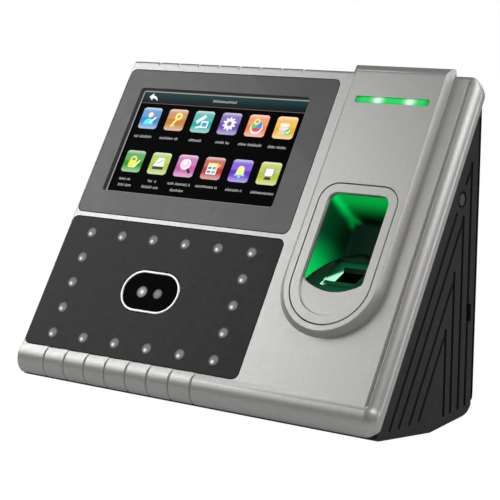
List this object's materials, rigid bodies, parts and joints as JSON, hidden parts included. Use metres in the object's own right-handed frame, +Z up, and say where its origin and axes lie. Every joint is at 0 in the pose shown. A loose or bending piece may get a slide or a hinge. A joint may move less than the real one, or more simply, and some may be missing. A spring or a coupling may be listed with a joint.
{
  "type": "face and fingerprint access terminal",
  "caption": "Wedge-shaped face and fingerprint terminal with colour touch screen, infrared camera window, lit fingerprint reader, grooved lip, ribbed black sides and wall plate.",
  "frame": {"origin": "centre of the overall box's bottom, on the surface the terminal stands on", "axes": "+Z up, +X to the viewer's right, +Y backwards towards the wall; the sloping face looks towards -Y and up"},
  "size_m": [0.1936, 0.0955, 0.155],
  "materials": {
    "silver_paint": "satin silver paint on a moulded shell",
    "black_plastic": "fine matt texture",
    "panel_grey": "satin dark grey",
    "display_glass": "glossy, lit from behind",
    "dark_window": "polished, nearly opaque to the eye",
    "lens_black": "glossy",
    "bright_trim": "polished",
    "light_bar": "translucent, lit green",
    "reader_black": "glossy, lit green from inside",
    "reader_glass": "polished",
    "circuit_board": "solder mask",
    "tinned_metal": "satin",
    "steel": "zinc plated",
    "terminal_green": "moulded",
    "battery_wrap": "shrink sleeve",
    "plunger_plastic": "moulded",
    "lamp_clear": "clear resin"
  },
  "bodies": {
    "terminal": {"battery_pack": "battery_wrap", "board_screw_1": "steel", "board_screw_2": "steel", "board_screw_3": "steel", "board_screw_4": "steel", "camera_board": "circuit_board", "camera_cover": "dark_window", "camera_lens_left": "lens_black", "camera_lens_right": "lens_black", "camera_ring": "bright_trim", "ethernet_jack": "tinned_metal", "finger_guide": "reader_black", "front_shell": "silver_paint", "ir_led_01": "lamp_clear", "ir_led_02": "lamp_clear", "ir_led_03": "lamp_clear", "ir_led_04": "lamp_clear", "ir_led_05": "lamp_clear", "ir_led_06": "lamp_clear", "ir_led_07": "lamp_clear", "ir_led_08": "lamp_clear", "ir_led_09": "lamp_clear", "ir_led_10": "lamp_clear", "ir_led_11": "lamp_clear", "ir_led_12": "lamp_clear", "ir_led_13": "lamp_clear", "ir_led_14": "lamp_clear", "ir_led_15": "lamp_clear", "ir_led_16": "lamp_clear", "ir_led_17": "lamp_clear", "ir_led_18": "lamp_clear", "ir_led_board": "circuit_board", "ir_window": "dark_window", "lcd_module": "tinned_metal", "main_board": "circuit_board", "power_jack": "black_plastic", "power_switch": "black_plastic", "processor_shield": "tinned_metal", "rear_shell": "black_plastic", "relay_terminals": "terminal_green", "screen_bezel": "panel_grey", "sensor_bezel": "silver_paint", "sensor_board": "circuit_board", "sensor_prism": "reader_glass", "shell_screw_1": "steel", "shell_screw_2": "steel", "shell_screw_3": "steel", "shell_screw_4": "steel", "speaker": "black_plastic", "status_led_board": "circuit_board", "status_light_bar": "light_bar", "tamper_switch": "black_plastic", "touch_panel": "display_glass", "usb_port": "tinned_metal", "wiegand_terminals": "terminal_green"},
    "power_button": {"power_button": "black_plastic"},
    "tamper_plunger": {"tamper_plunger": "plunger_plastic"},
    "wall_plate": {"wall_plate": "steel"}
  },
  "joints": [
    {"name": "power_button_press", "type": "slide", "parent": "terminal", "child": "power_button", "axis": [-1, 0, 0], "range_m": [0, 0.0009], "stiffness_N_per_m": 400, "springref_m": -0.001},
    {"name": "tamper_plunger_press", "type": "slide", "parent": "terminal", "child": "tamper_plunger", "axis": [0, -1, 0], "range_m": [0, 0.0017], "stiffness_N_per_m": 200, "springref_m": -0.002},
    {"name": "wall_plate_release", "type": "slide", "parent": "terminal", "child": "wall_plate", "axis": [0, 1, 0], "range_m": [0, 0.03]}
  ]
}
